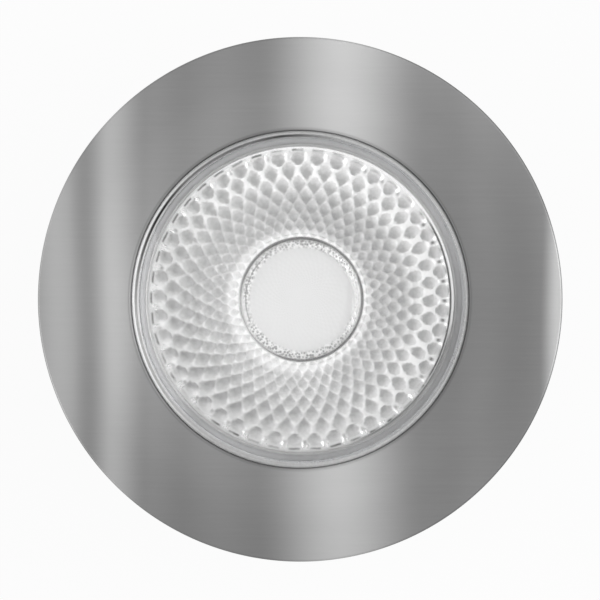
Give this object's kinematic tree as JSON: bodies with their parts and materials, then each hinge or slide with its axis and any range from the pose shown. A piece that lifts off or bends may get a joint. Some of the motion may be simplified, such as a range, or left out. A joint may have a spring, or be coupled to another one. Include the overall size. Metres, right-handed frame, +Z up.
{
  "type": "in-ground light",
  "caption": "Round in-ground light: brushed steel faceplate, flush bevelled glass, faceted lens, sealed aluminium housing and an open-based mounting sleeve.",
  "frame": {"origin": "on the light's axis at finished ground level, the top of the sleeve and the underside of the faceplate's rim", "axes": "+Z up out of the ground along the light's axis, towards the glass; -Y towards the prising notch"},
  "size_m": [0.086, 0.086, 0.103],
  "materials": {
    "sleeve_plastic": "moulded, fine matt texture",
    "brushed_stainless": "fine brushed",
    "spring_steel": "rolled strip, satin",
    "cast_aluminium": "cast and turned, clear anodised",
    "clear_glass": "toughened, polished, bevelled edge",
    "silicone": "translucent grey silicone",
    "turned_aluminium": "turned",
    "stainless_screws": "machined",
    "satin_bezel": "satin",
    "lens_plastic": "clear moulded acrylic",
    "white_plastic": "moulded",
    "board_ceramic": "plain",
    "phosphor": "cast silicone, matt",
    "thermal_pad": "matt",
    "lead_insulation": "satin",
    "circuit_board": "green solder mask",
    "brass": "turned",
    "ferrite": "pressed, matt",
    "capacitor_can": "printed sleeve, satin",
    "moulded_chip": "moulded",
    "black_rubber": "matt",
    "gland_nylon": "moulded, satin"
  },
  "bodies": {
    "sleeve": {"mounting_sleeve": "sleeve_plastic"},
    "fixture": {"housing": "cast_aluminium", "cover_glass": "clear_glass", "glass_gasket": "silicone", "clamp_ring": "turned_aluminium", "clamp_ring_screws": "stainless_screws", "lens_bezel": "satin_bezel", "lens": "lens_plastic", "source_holder": "white_plastic", "source_board": "board_ceramic", "source_phosphor": "phosphor", "thermal_pad": "thermal_pad", "holder_screws": "stainless_screws", "heat_spreader": "turned_aluminium", "spreader_screws": "stainless_screws", "source_leads": "lead_insulation", "driver_board": "circuit_board", "board_standoffs": "brass", "board_screws": "stainless_screws", "driver_inductor": "ferrite", "driver_capacitor": "capacitor_can", "driver_rectifier": "moulded_chip", "driver_chip": "moulded_chip", "input_terminal": "white_plastic", "rear_cover": "cast_aluminium", "rear_cover_seal": "black_rubber", "rear_cover_screws": "stainless_screws", "gland_washer": "black_rubber", "gland_body": "gland_nylon", "gland_locknut": "gland_nylon", "gland_seal": "black_rubber", "gland_nut": "gland_nylon", "spring_feet": "spring_steel", "spring_screws": "stainless_screws"},
    "faceplate_unit": {"faceplate": "brushed_stainless", "faceplate_clips": "spring_steel"},
    "side_spring_1": {"side_spring_1": "spring_steel"},
    "side_spring_2": {"side_spring_2": "spring_steel"},
    "side_spring_3": {"side_spring_3": "spring_steel"}
  },
  "joints": [
    {"name": "fixture_lift", "type": "slide", "parent": "sleeve", "child": "fixture", "axis": [0, 0, 1], "range_m": [0, 0.09]},
    {"name": "faceplate_pull", "type": "slide", "parent": "fixture", "child": "faceplate_unit", "axis": [0, 0, 1], "range_m": [0, 0.014]},
    {"name": "side_spring_1_flex", "type": "hinge", "parent": "fixture", "child": "side_spring_1", "pos_m": [0.0313, 0, -0.047], "axis": [0, -1, 0], "range_deg": [0, 5], "stiffness_Nm_per_rad": 0.05},
    {"name": "side_spring_2_flex", "type": "hinge", "parent": "fixture", "child": "side_spring_2", "pos_m": [-0.01565, 0.02711, -0.047], "axis": [0.866, 0.5, 0], "range_deg": [0, 5], "stiffness_Nm_per_rad": 0.05},
    {"name": "side_spring_3_flex", "type": "hinge", "parent": "fixture", "child": "side_spring_3", "pos_m": [-0.01565, -0.02711, -0.047], "axis": [-0.866, 0.5, 0], "range_deg": [0, 5], "stiffness_Nm_per_rad": 0.05}
  ]
}
